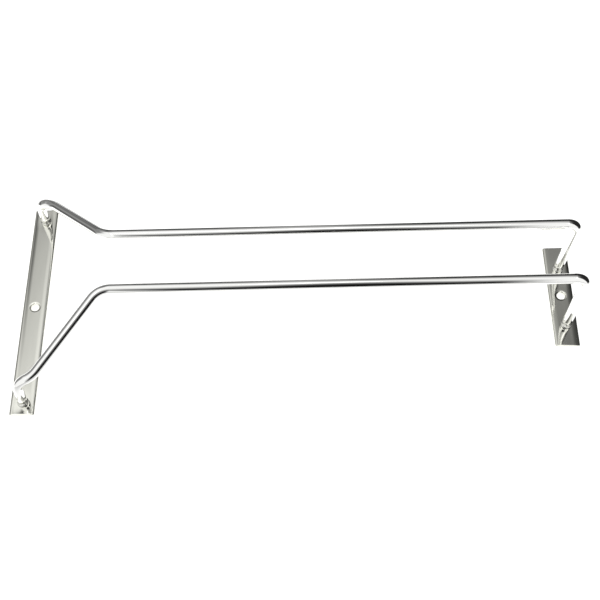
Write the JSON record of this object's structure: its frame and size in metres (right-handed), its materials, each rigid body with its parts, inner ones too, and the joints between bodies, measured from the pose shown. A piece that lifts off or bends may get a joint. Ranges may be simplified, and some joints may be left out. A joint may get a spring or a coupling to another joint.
{
  "type": "hanging wine glass rack",
  "caption": "Under-shelf rack for stemmed glasses: chromed wire rails with a flared mouth, welded to flat screw strips at the mouth and at the closed end.",
  "frame": {"origin": "middle of the box's bottom: on the mounting plane (the strips' outer faces), midway between the two strips and between the two wires", "axes": "+X along the rails from the open flared mouth to the closed end, +Y to the left as seen from the mouth looking along +X, +Z from the mounting plane towards the rails. The rack is drawn standing on its strips; in use it is turned over, with -Z up against the underside of a shelf and the rails lowest"},
  "size_m": [0.2854, 0.123, 0.0465],
  "materials": {
    "wire": "polished chrome plating on drawn steel wire",
    "strip": "bright chrome plating on rolled flat steel, with faint lengthwise draw lines",
    "weld": "plated over the weld, slightly duller than the wire"
  },
  "bodies": {
    "root": {"front_strip": "strip", "rear_strip": "strip", "left_wire": "wire", "right_wire": "wire", "front_left_weld": "weld", "front_right_weld": "weld", "rear_left_weld": "weld", "rear_right_weld": "weld"}
  },
  "joints": []
}
